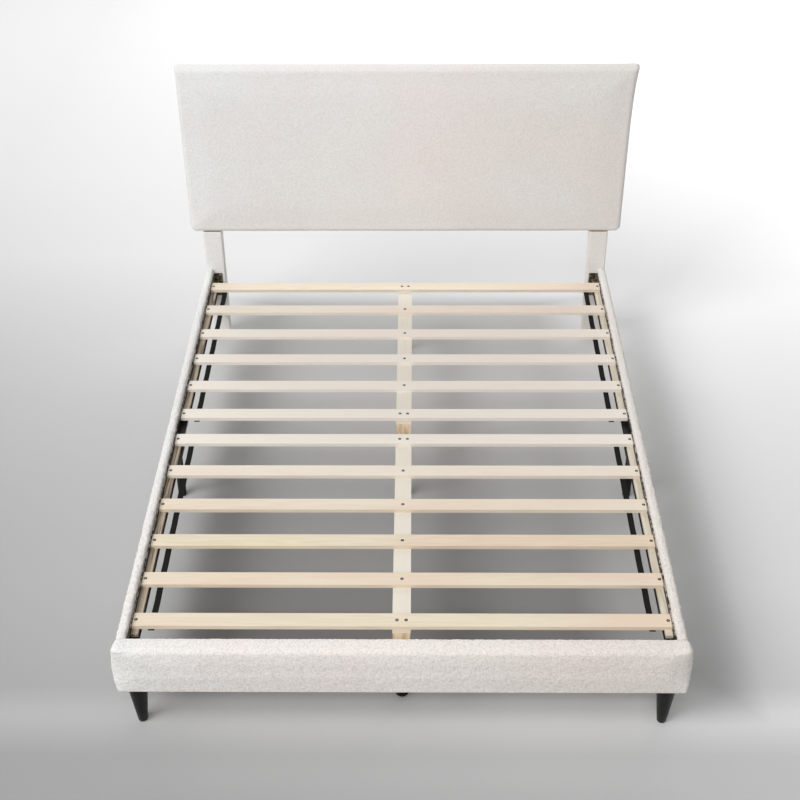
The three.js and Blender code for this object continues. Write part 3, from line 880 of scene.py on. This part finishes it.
# ------------ posts
def make_post_cover(side):
    """A cloth sleeve drawn tight over a post."""
    node = f"post_cover_{side}"
    low, high = map(np.array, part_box(node))
    radius, sleeve, cell = 0.006, 0.0022, 0.0085
    centre = (low + high) / 2
    half = (high - low) / 2 - np.array([0.0006, 0.0006, 0])

    def ring(hx, hy, r):
        loop = []
        corners = ((1, 1, 0), (-1, 1, 90), (-1, -1, 180), (1, -1, 270))
        for n, (sx, sy, start) in enumerate(corners):
            loop += arc((sx * (hx - r), sy * (hy - r)), r, start, start + 90, 3)
            nx, ny, angle = corners[(n + 1) % 4]
            a = math.radians(angle)
            goal = (nx * (hx - r) + r * math.cos(a), ny * (hy - r) + r * math.sin(a))
            loop += along_line(loop[-1], goal, cell)
        return loop

    outer = ring(half[0], half[1], radius)
    inner = ring(half[0] - sleeve + 0.0006, half[1] - sleeve + 0.0006, radius - sleeve)
    short = min(len(outer), len(inner))
    outer, inner = outer[:short], inner[:short]
    span = high[2] - low[2]
    count = round(span / cell)
    levels = [(outer, low[2] + span * i / count) for i in range(count + 1)]
    levels += [(inner, high[2]), (inner, low[2])]
    points = [
        (centre[0] + x, centre[1] + y, z) for loop, z in levels for x, y in loop
    ]
    starts = [n * short for n in range(len(levels))]
    faces = []
    for a, b in zip(starts, starts[1:] + [0]):
        faces += band(a, b, short)
    obj = new_object(f"post_cloth_{side}", points, faces, BOUCLE)
    rims = {0, count, count + 1, count + 2}
    crease_edges(obj, lambda a, b: a // short == b // short and a // short in rims)
    subdivide(obj)
    fine = points_of(obj)
    off = np.abs(fine[:, :2] - centre[:2]) - (half[:2] - 0.0012)
    inside = (off.max(axis=1) < 0) | (fine[:, 2] < low[2] + 0.001) | (fine[:, 2] > high[2] - 0.001)
    nub(obj, np.nonzero(inside)[0], height=0.0005, seed=71)
    finish_piece(obj, [node])


# ------------ hard parts
def bevel(names, width, segments=2):
    for name in names:
        modifier = nodes[name].modifiers.new("soft_edge", "BEVEL")
        modifier.width = width
        modifier.segments = segments
        modifier.limit_method = "ANGLE"
        modifier.angle_limit = math.radians(50)
        modifier.harden_normals = True
        mesh = nodes[name].data
        mesh.polygons.foreach_set("use_smooth", [True] * len(mesh.polygons))
        mesh.update()


def paint(names, material):
    for name in names:
        mesh = nodes[name].data
        mesh.materials.clear()
        mesh.materials.append(material)


def named(prefix):
    return sorted(n for n in nodes if n.startswith(prefix))


def finish_hard_parts():
    slats = [n for n in named("slat_") if not n.startswith("slat_strap")]
    paint(slats, SLAT_WOOD)
    paint(named("centre_strip"), STRIP_WOOD)
    paint(named("centre_beam"), BEAM_WOOD)
    paint(named("ledge_strip"), LEDGE_WOOD)
    # The left ledges get the wood with the left rail's painted shadow.
    paint([n for n in named("ledge_strip") if n.endswith("left")], LEDGE_SHADED)
    paint(named("side_rail_board"), RAIL_WOOD)
    paint(["foot_rail_board", "headboard_board", "headboard_frame"], CROSS_WOOD)
    paint(named("headboard_post"), POST_WOOD)
    steel = named("ledge_angle") + named("corner_bracket") + named("post_bracket")
    steel += named("rail_joint_plate") + ["beam_hanger"]
    paint(steel, STEEL)
    # The post brackets and the left corner bracket get the brown patches of painted highlight.
    paint(named("post_bracket") + ["corner_bracket_left"], BRACKET_WITH_HIGHLIGHTS)
    bevel(slats + named("centre_strip"), 0.0014)
    bevel(named("centre_beam") + named("ledge_strip"), 0.0015)
    bevel(named("side_rail_board") + ["foot_rail_board"], 0.0010)
    bevel(steel, 0.0005, 1)


def lathe(name, x, y, profile, material, segments=48):
    """A turned piece from (radius, height) pairs, bottom to top, both ends closed."""
    points = [p for radius, z in profile for p in circle(radius, z, segments, x, y)]
    obj = new_object(name, points, closed_tube(len(profile), segments), material)
    for face in obj.data.polygons[-2:]:
        face.use_smooth = False
    return obj


def make_legs():
    glide = 0.004
    for prefix, sides in (("front_leg", ("left", "right")), ("middle_leg", ("left", "right")),
                          ("centre_leg", ("foot", "middle", "head"))):
        for side in sides:
            node = f"{prefix}_{side}"
            low, high = map(np.array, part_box(node))
            x, y = (low[0] + high[0]) / 2, (low[1] + high[1]) / 2
            top, wide = high[2], (high[0] - low[0]) / 2
            if prefix == "centre_leg":
                shaft = wide - 0.004
                profile = [
                    (0.0165, glide), (0.0192, glide + 0.0006), (0.02, glide + 0.002),
                    (0.02, 0.0075), (0.0193, 0.0088), (shaft, 0.010), (shaft, top - 0.0065),
                    (shaft + 0.0006, top - 0.0046), (wide - 0.0008, top - 0.004),
                    (wide, top - 0.0032), (wide, top - 0.0006), (wide - 0.0008, top),
                ]
                foot = 0.0165
            else:
                foot = 0.0125
                narrow = 0.014
                rise = [(narrow + (wide - narrow) * t, 0.0055 + (top - 0.0115) * t)
                        for t in (0.0, 0.25, 0.5, 0.75, 1.0)]
                profile = [(foot, glide), (narrow - 0.0004, glide + 0.0007), *rise,
                           (wide, top - 0.0012), (wide - 0.001, top)]
            obj = lathe(f"{node}_turned", x, y, profile, LEG)
            finish_piece(obj, [node])
            pad = lathe(
                f"{node}_glide", x, y,
                [(foot - 0.0015, 0.0), (foot - 0.0004, 0.0004), (foot, 0.0012),
                 (foot, glide - 0.0002)],
                GLIDE, 32,
            )
            finish_piece(pad)


HEAD_SIDES = 24


def screw_points(radius, depth):
    """A flat screw head, its top at z = 0, with a cross cut into it: points and faces."""
    points = []
    for r, z in ((0.55, -depth), (1, -0.0003), (0.97, 0.0), (0.55, 0.00012)):
        points += circle(radius * r, z, HEAD_SIDES)
    # The recess: points near the cross's arms lie far out, the others close to the middle.
    inner = []
    for i in range(HEAD_SIDES):
        a = 2 * math.pi * i / HEAD_SIDES
        r = radius * (0.50 if abs(math.cos(2 * a)) > 0.85 else 0.16)
        inner.append((r * math.cos(a), r * math.sin(a), 0.0001))
    points += inner + [(x * 0.8, y * 0.8, -radius * 0.35) for x, y, _ in inner]
    return [Vector(p) for p in points], closed_tube(6, HEAD_SIDES)


def hex_bolt_points(radius, height):
    """A domed socket bolt head, its seat at z = 0."""
    points = []
    for r, z in ((0.98, 0.0), (1, 0.0003), (1, height * 0.45), (0.88, height * 0.8),
                 (0.6, height), (0.46, height)):
        points += circle(radius * r, z, HEAD_SIDES)
    sixth, half_sixth = math.radians(60), math.radians(30)
    for z in (height, height * 0.35):
        for i in range(HEAD_SIDES):
            a = 2 * math.pi * i / HEAD_SIDES
            reach = radius * 0.42 * math.cos(half_sixth) / math.cos(a % sixth - half_sixth)
            points.append((reach * math.cos(a), reach * math.sin(a), z))
    return [Vector(p) for p in points], closed_tube(8, HEAD_SIDES)


def scatter(name, shape, places, material):
    """One piece made of copies of a shape at (position, direction, turn) places."""
    points, faces = [], []
    for where, up, turn in places:
        spin = Vector((0, 0, 1)).rotation_difference(Vector(up)).to_matrix()
        spin = spin @ Matrix.Rotation(turn, 3, "Z")
        start = len(points)
        points += [spin @ p + Vector(where) for p in shape[0]]
        faces += [[start + i for i in f] for f in shape[1]]
    obj = new_object(name, points, faces, material)
    face_outward(obj)
    finish_piece(obj)


def make_fasteners():
    screws, bolts = [], []
    up = (0, 0, 1)
    lift = 0.0002
    for n in range(1, 13):
        low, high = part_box(f"slat_{n:02d}")
        y, top = (low.y + high.y) / 2, high.z + lift
        for sign in (-1, 1):
            screws.append(((sign * (high.x - 0.0085), y, top), up, random.uniform(0, 3)))
        for x in (-0.013, 0.013) if n in (1, 6, 7, 12) else (0.0,):
            screws.append(((x, y, top), up, random.uniform(0, 3)))
    scatter("slat_screws", screw_points(0.0052, 0.003), screws, SCREW)

    bolt = hex_bolt_points(0.0065, 0.0045)
    end_bolt = 0.752  # how far out the brackets' end bolts lie
    for side, sign in SIDES:
        rail_low, rail_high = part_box(f"side_rail_cover_head_{side}")
        inner = min(abs(rail_low.x), abs(rail_high.x)) - GAP - ANGLE_PLATE
        for y in (-0.045, -0.018, 0.018, 0.045):
            for z in (0.19, 0.25):
                bolts.append(((sign * inner, y, z), (-sign, 0, 0), random.uniform(0, 3)))
        post_low, post_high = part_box(f"post_bracket_{side}")
        for z in (0.225, 0.262):
            bolts.append(((sign * inner, post_low.y + 0.018, z), (-sign, 0, 0), 0.3))
            bolts.append(((sign * end_bolt, post_high.y - ANGLE_PLATE, z), (0, -1, 0), 0.5))
        corner_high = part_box(f"corner_bracket_{side}")[1]
        foot_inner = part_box("foot_rail_cover")[1].y + GAP + ANGLE_PLATE
        for z in (0.19, 0.25):
            bolts.append(((sign * inner, corner_high.y - 0.016, z), (-sign, 0, 0), 0.3))
            bolts.append(((sign * end_bolt, foot_inner, z), (0, 1, 0), 0.5))
    scatter("bracket_bolts", bolt, bolts, STEEL)


def make_straps():
    """Webbing under each slat set, stapled to the slats and slack by a hair between them."""
    for half, (side, _) in product(HALVES, SIDES):
        node = f"slat_strap_{half}_{side}"
        low, high = map(np.array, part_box(node))
        numbers = range(1, 7) if half == "head" else range(7, 13)
        centres = [sum(b.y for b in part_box(f"slat_{n:02d}")) / 2 for n in numbers]
        steps = 180
        across = 6
        thick = 0.0014
        points = []
        for i in range(steps + 1):
            y = low[1] + (high[1] - low[1]) * i / steps
            near = min(abs(y - c) for c in centres)
            sag = 0.0022 * min(1, max(0, (near - 0.026) / 0.05)) ** 2
            for layer, j in product((0, 1), range(across + 1)):
                part = (across - j if layer else j) / across
                x = low[0] + (high[0] - low[0]) * part
                points.append((x, y, high[2] - sag - 0.0001 - layer * thick))
        faces = [face[::-1] for face in closed_tube(steps + 1, 2 * (across + 1))]
        obj = new_object(f"webbing_{half}_{side}", points, faces, WEBBING, smooth=False)
        finish_piece(obj, [node])


def make_lining():
    """The thin cloth that closes the headboard's back, stapled round its edge."""
    low, high = map(np.array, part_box("headboard_lining"))
    nx, nz = 110, 42
    points, faces = [], []
    for layer, j, i in product((0, 1), range(nz + 1), range(nx + 1)):
        x = low[0] + (high[0] - low[0]) * i / nx
        z = low[2] + (high[2] - low[2]) * j / nz
        inset = min(x - low[0], high[0] - x, z - low[2], high[2] - z)
        slack = 1 - math.exp(-inset / 0.03)
        ripple = value_noise(np.array([[x * 0.6, 0, z]]), 0.09, 81)[0]
        y = high[1] - 0.0005 + 0.0004 * slack * ripple
        points.append((x, y - layer * 0.0009, z))
    wide = nx + 1
    start = wide * (nz + 1)
    for j, i in product(range(nz), range(nx)):
        a = j * wide + i
        faces.append([a, a + wide, a + wide + 1, a + 1])
        b = start + a
        faces.append([b, b + 1, b + wide + 1, b + wide])
    edge = list(range(nx)) + [nx + j * wide for j in range(nz)]
    edge += [nz * wide + i for i in range(nx, 0, -1)] + [j * wide for j in range(nz, 0, -1)]
    for a, b in zip(edge, edge[1:] + edge[:1]):
        faces.append([a, b, b + start, a + start])
    obj = new_object("headboard_lining_cloth", points, faces, LINING)
    face_outward(obj)
    finish_piece(obj, ["headboard_lining"])
    inset, pitch, seat = 0.008, 0.045, high[1] - 0.0004
    staples = []
    for z in (low[2] + inset, high[2] - inset):
        for x in np.arange(low[0] + 0.02, high[0] - 0.01, pitch):
            staples.append(((x, seat, z), (0, 1, 0), random.uniform(-0.15, 0.15)))
    for x in (low[0] + inset, high[0] - inset):
        for z in np.arange(low[2] + 0.04, high[2] - 0.03, pitch):
            staples.append(((x, seat, z), (0, 1, 0), math.pi / 2))
    scatter("lining_staples", staple_points(0.010, 0.0006), staples, STAPLE)


def staple_points(length, thick):
    """A staple's crown with its ends turned down, its seat at z = 0."""
    half, leg = length / 2, 0.0007
    line = [(-half, -leg), (-half + 0.0004, thick), (half - 0.0004, thick), (half, -leg)]
    section = ((-0.5, 0), (0.5, 0), (0.5, -0.8), (-0.5, -0.8))
    points = [Vector((x, y * thick, z + dz * thick)) for x, z in line for y, dz in section]
    return points, closed_tube(len(line), len(section))


# ------------ stage
def make_stage():
    size = 14
    floor = new_object(
        "floor", [(-size, -size, 0), (size, -size, 0), (size, size, 0), (-size, size, 0)],
        [[0, 1, 2, 3]], floor_material(),
    )


def make_light(name, where, aim, energy, size):
    data = bpy.data.lights.new(name, "AREA")
    data.energy = energy
    data.shape = "RECTANGLE"
    data.size, data.size_y = size
    obj = bpy.data.objects.new(name, data)
    bpy.context.scene.collection.objects.link(obj)
    obj.location = where
    obj.rotation_euler = (Vector(aim) - Vector(where)).to_track_quat("-Z", "Y").to_euler()


def make_lights():
    world = bpy.data.worlds.new("studio")
    world.use_nodes = True
    tree = world.node_tree
    background = tree.nodes["Background"]
    background.inputs["Color"].default_value = (1, 1, 1, 1)
    place = tree.nodes.new("ShaderNodeTexCoord")
    parts = tree.nodes.new("ShaderNodeSeparateXYZ")
    height = tree.nodes.new("ShaderNodeMapRange")
    tree.links.new(place.outputs["Generated"], parts.inputs[0])
    tree.links.new(parts.outputs["Z"], height.inputs["Value"])
    height.inputs["To Min"].default_value = 0.15
    height.inputs["To Max"].default_value = 0.36
    tree.links.new(height.outputs[0], background.inputs["Strength"])
    bpy.context.scene.world = world
    make_light("key", (-6.6, -4.6, 8.4), (0.0, 0.3, 0.3), 690, (5.5, 5.5))
    make_light("front", (-2.2, -7.2, 5.8), (-0.2, 0.8, 0.5), 340, (7.0, 4.0))
    make_light("back", (0.6, 5.4, 3.6), (0.6, 4.6, 0.0), 230, (9.0, 3.0))


def make_camera():
    """The photograph's viewpoint, from a pinhole fit."""
    place, lens = (0.0365, -3.7140, 3.0732), 61.161
    pitch, yaw, roll = (math.radians(a) for a in (35.620, -0.7477, 0.4037))
    forward = Vector((
        math.sin(yaw) * math.cos(pitch), math.cos(yaw) * math.cos(pitch), -math.sin(pitch),
    ))
    right = Vector((math.cos(yaw), -math.sin(yaw), 0))
    down = forward.cross(right)
    image_right = math.cos(roll) * right + math.sin(roll) * down
    image_down = -math.sin(roll) * right + math.cos(roll) * down
    data = bpy.data.cameras.new("camera")
    data.sensor_width = 36
    data.lens = lens
    obj = bpy.data.objects.new("camera", data)
    bpy.context.scene.collection.objects.link(obj)
    turn = Matrix((image_right, -image_down, -forward)).transposed().to_4x4()
    obj.matrix_world = Matrix.Translation(place) @ turn
    bpy.context.scene.camera = obj


make_headboard()
make_foot_rail()
for side_name, side_sign in SIDES:
    for half_name in HALVES:
        make_side_rail(half_name, side_name, side_sign)
    make_post_cover(side_name)
finish_hard_parts()
make_legs()
make_fasteners()
make_straps()
make_lining()
make_stage()
make_lights()
make_camera()
bpy.context.scene.view_settings.view_transform = "Standard"
